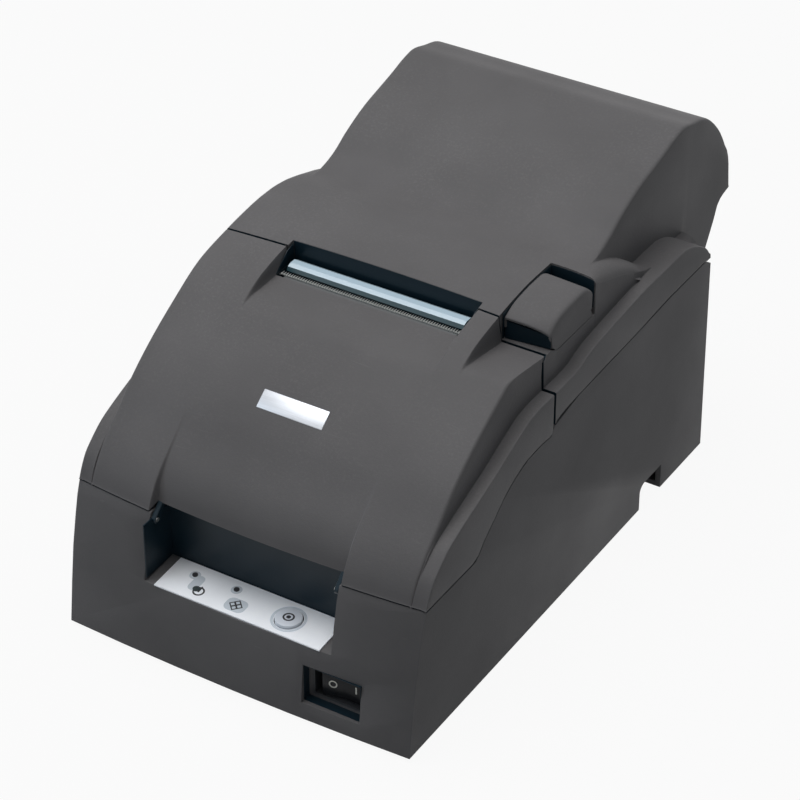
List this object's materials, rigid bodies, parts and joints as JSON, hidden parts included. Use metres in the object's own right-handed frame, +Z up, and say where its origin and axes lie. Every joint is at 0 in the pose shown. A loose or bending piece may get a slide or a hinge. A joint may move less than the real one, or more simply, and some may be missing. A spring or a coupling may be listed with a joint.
{
  "type": "dot matrix receipt printer",
  "caption": "Desktop dot matrix receipt printer with hinged front cover, rear roll cover with raised take-up box, side release lever, panel and power rocker.",
  "frame": {"origin": "centre of the bounding box on the plane the feet stand on", "axes": "+Z up, the front with the control panel faces -Y, +X is the side with the release lever and the power switch"},
  "size_m": [0.16, 0.2861, 0.1575],
  "materials": {
    "case_plastic": "fine matte texture",
    "badge_metal": "satin",
    "dark_plastic": "matte",
    "rocker_plastic": "glossy",
    "label_film": "printed film",
    "window_plastic": "satin",
    "button_plastic": "satin",
    "board_laminate": "solder mask",
    "component_black": "matte",
    "rubber": "matte",
    "roller_rubber": "matte",
    "screw_steel": "zinc",
    "sheet_steel": "zinc",
    "polished_steel": "ground",
    "motor_metal": "plated",
    "head_aluminium": "cast",
    "pinion_brass": "machined",
    "gear_plastic": "moulded",
    "ribbon_fabric": "inked",
    "knob_plastic": "satin",
    "platen_plastic": "matte",
    "guide_plastic": "satin"
  },
  "bodies": {
    "printer": {"lower_case": "case_plastic", "control_panel": "label_film", "indicator_windows": "window_plastic", "control_board": "board_laminate", "switch_body": "dark_plastic", "rubber_feet": "rubber", "case_screws": "screw_steel", "front_hinge_pins": "screw_steel", "rear_hinge_pins": "screw_steel", "latch_pin": "screw_steel", "mechanism_base": "sheet_steel", "left_side_plate": "sheet_steel", "right_side_plate": "sheet_steel", "frame_screws": "screw_steel", "carriage_shaft": "polished_steel", "guide_rail": "polished_steel", "carriage_belt": "rubber", "carriage_motor": "motor_metal", "idler_post": "sheet_steel", "ribbon_cassette": "dark_plastic", "ribbon_strip": "ribbon_fabric", "platen": "platen_plastic", "paper_guide_bar": "guide_plastic", "fixed_blade": "sheet_steel", "cutter_motor": "motor_metal", "cutter_guides": "sheet_steel", "idler_stud": "sheet_steel", "feed_motor": "motor_metal", "paper_tray": "case_plastic", "take_up_brackets": "sheet_steel", "take_up_motor": "motor_metal", "main_board": "board_laminate", "board_parts": "component_black", "connector_panel": "sheet_steel", "data_connector": "sheet_steel", "drawer_connector": "dark_plastic", "power_inlet": "dark_plastic"},
    "front_cover": {"front_cover": "case_plastic", "badge_plate": "badge_metal", "tear_bar": "dark_plastic"},
    "roll_cover": {"roll_cover": "case_plastic", "lever_pin": "screw_steel"},
    "release_lever": {"release_lever": "case_plastic"},
    "power_rocker": {"power_rocker": "rocker_plastic"},
    "feed_button": {"feed_button": "button_plastic"},
    "carriage": {"carriage": "dark_plastic", "print_head": "head_aluminium"},
    "drive_pulley": {"drive_pulley": "pinion_brass"},
    "idler_pulley": {"idler_pulley": "gear_plastic"},
    "feed_roller": {"feed_roller": "roller_rubber", "roller_gear": "gear_plastic"},
    "idler_gear": {"idler_gear": "gear_plastic"},
    "motor_pinion": {"motor_pinion": "pinion_brass"},
    "pinch_rollers": {"pinch_rollers": "roller_rubber"},
    "ribbon_knob": {"ribbon_knob": "knob_plastic"},
    "moving_blade": {"moving_blade": "sheet_steel"},
    "take_up_spool": {"take_up_spool": "dark_plastic", "take_up_gear": "gear_plastic"},
    "take_up_pinion": {"take_up_pinion": "pinion_brass"}
  },
  "joints": [
    {"name": "front_cover_hinge", "type": "hinge", "parent": "printer", "child": "front_cover", "pos_m": [0, -0.1308, 0.0616], "axis": [1, 0, 0], "range_deg": [0, 90]},
    {"name": "roll_cover_hinge", "type": "hinge", "parent": "printer", "child": "roll_cover", "pos_m": [0, 0.106, 0.063], "axis": [-1, 0, 0], "range_deg": [0, 78]},
    {"name": "lever_pivot", "type": "hinge", "parent": "roll_cover", "child": "release_lever", "pos_m": [0.0634, 0.0025, 0.1246], "axis": [-1, 0, 0], "range_deg": [0, 18], "stiffness_Nm_per_rad": 0.1},
    {"name": "power_rocker_pivot", "type": "hinge", "parent": "printer", "child": "power_rocker", "pos_m": [0.0465, -0.1318, 0.018], "axis": [0, 0, 1], "range_deg": [-14, 0]},
    {"name": "feed_button_slide", "type": "slide", "parent": "printer", "child": "feed_button", "axis": [0, 0, -1], "range_m": [0, 0.0008], "stiffness_N_per_m": 400},
    {"name": "carriage_slide", "type": "slide", "parent": "printer", "child": "carriage", "axis": [1, 0, 0], "range_m": [-0.034, 0.034]},
    {"name": "drive_pulley_spin", "type": "hinge", "parent": "printer", "child": "drive_pulley", "pos_m": [-0.048, -0.079, 0.0606], "axis": [0, 1, 0], "continuous": true},
    {"name": "idler_pulley_spin", "type": "hinge", "parent": "printer", "child": "idler_pulley", "pos_m": [0.048, -0.079, 0.0606], "axis": [0, 1, 0], "continuous": true},
    {"name": "feed_roller_spin", "type": "hinge", "parent": "printer", "child": "feed_roller", "pos_m": [0, -0.0378, 0.064], "axis": [1, 0, 0], "continuous": true},
    {"name": "idler_gear_spin", "type": "hinge", "parent": "printer", "child": "idler_gear", "pos_m": [0.0672, -0.02887, 0.03946], "axis": [1, 0, 0], "continuous": true},
    {"name": "motor_pinion_spin", "type": "hinge", "parent": "printer", "child": "motor_pinion", "pos_m": [0.0672, -0.01021, 0.04699], "axis": [1, 0, 0], "continuous": true},
    {"name": "pinch_rollers_spin", "type": "hinge", "parent": "printer", "child": "pinch_rollers", "pos_m": [0, -0.0472, 0.064], "axis": [1, 0, 0], "continuous": true},
    {"name": "ribbon_knob_spin", "type": "hinge", "parent": "printer", "child": "ribbon_knob", "pos_m": [-0.038, -0.09538, 0.08593], "axis": [0, -0.5, 0.866], "continuous": true},
    {"name": "moving_blade_slide", "type": "slide", "parent": "printer", "child": "moving_blade", "axis": [0, -1, 0], "range_m": [0, 0.006]},
    {"name": "take_up_spool_spin", "type": "hinge", "parent": "printer", "child": "take_up_spool", "pos_m": [0, 0.098, 0.114], "axis": [1, 0, 0], "continuous": true},
    {"name": "take_up_pinion_spin", "type": "hinge", "parent": "printer", "child": "take_up_pinion", "pos_m": [-0.0472, 0.07886, 0.10507], "axis": [1, 0, 0], "continuous": true}
  ],
  "couplings": [
    {"joint": "drive_pulley_spin", "follows": "carriage_slide", "rad_per_m": 151.51},
    {"joint": "idler_pulley_spin", "follows": "carriage_slide", "rad_per_m": 151.51},
    {"joint": "idler_gear_spin", "follows": "feed_roller_spin", "ratio": -0.85714},
    {"joint": "motor_pinion_spin", "follows": "feed_roller_spin", "ratio": 2},
    {"joint": "pinch_rollers_spin", "follows": "feed_roller_spin", "ratio": -1.25},
    {"joint": "take_up_pinion_spin", "follows": "take_up_spool_spin", "ratio": -2.5}
  ]
}
